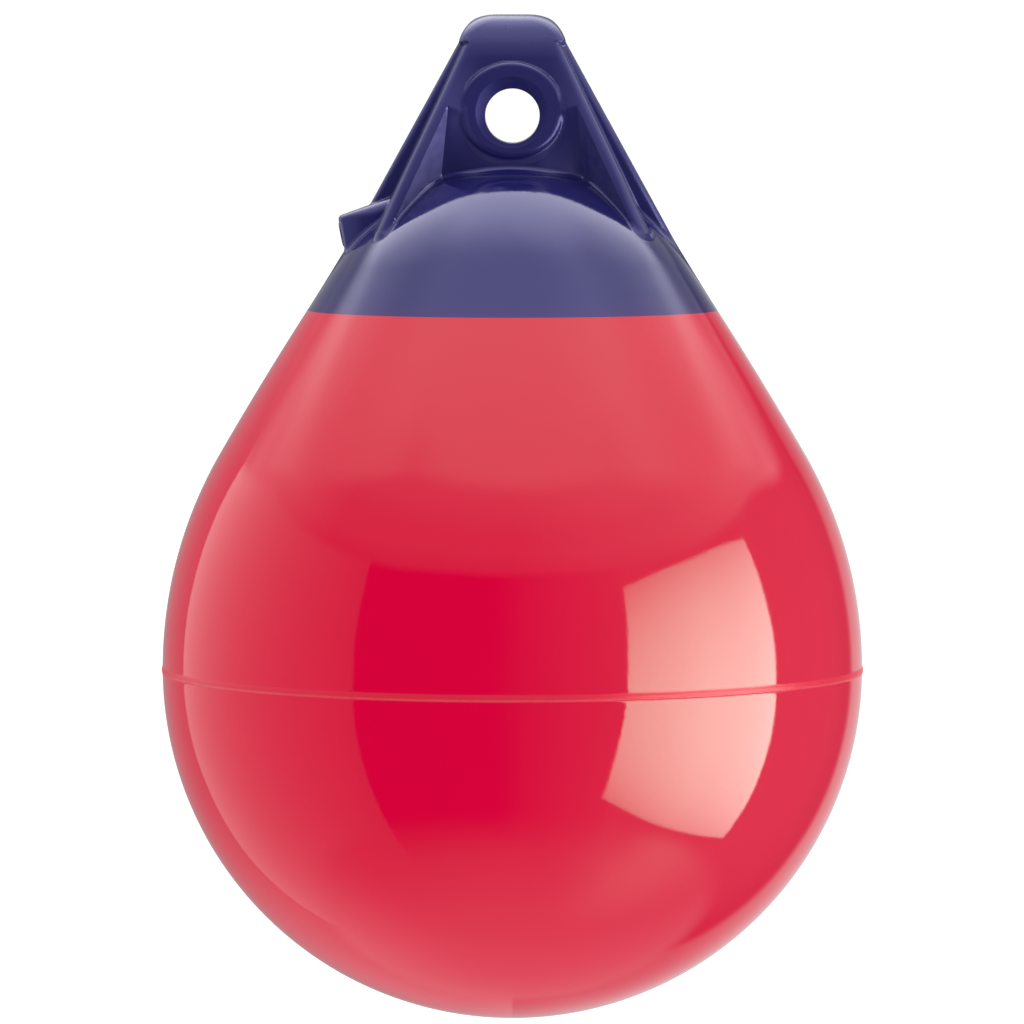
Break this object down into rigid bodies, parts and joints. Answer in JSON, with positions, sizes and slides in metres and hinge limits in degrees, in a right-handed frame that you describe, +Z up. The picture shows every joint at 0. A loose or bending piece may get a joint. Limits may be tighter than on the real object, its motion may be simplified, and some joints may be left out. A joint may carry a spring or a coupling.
{
  "type": "inflatable mooring buoy",
  "caption": "Teardrop inflatable vinyl buoy with a moulded rope eye head, ribs and an inflation valve; floats on water or hangs by its eye.",
  "frame": {"origin": "on the upright axis at the waterline of the empty buoy, 44.8 mm above its lowest point", "axes": "+Z up along the axis of the float to the head, -Y the front of the rope eye, the valve on -X"},
  "size_m": [0.2038, 0.2038, 0.2917],
  "materials": {
    "red_vinyl": "glossy soft vinyl",
    "blue_vinyl": "glossy soft vinyl, matt between the ribs",
    "valve_plastic": "matt nylon",
    "screw_plastic": "matt nylon"
  },
  "bodies": {
    "root": {"float_body": "red_vinyl", "rope_head": "blue_vinyl", "valve_insert": "valve_plastic", "valve_screw": "screw_plastic"}
  },
  "joints": []
}
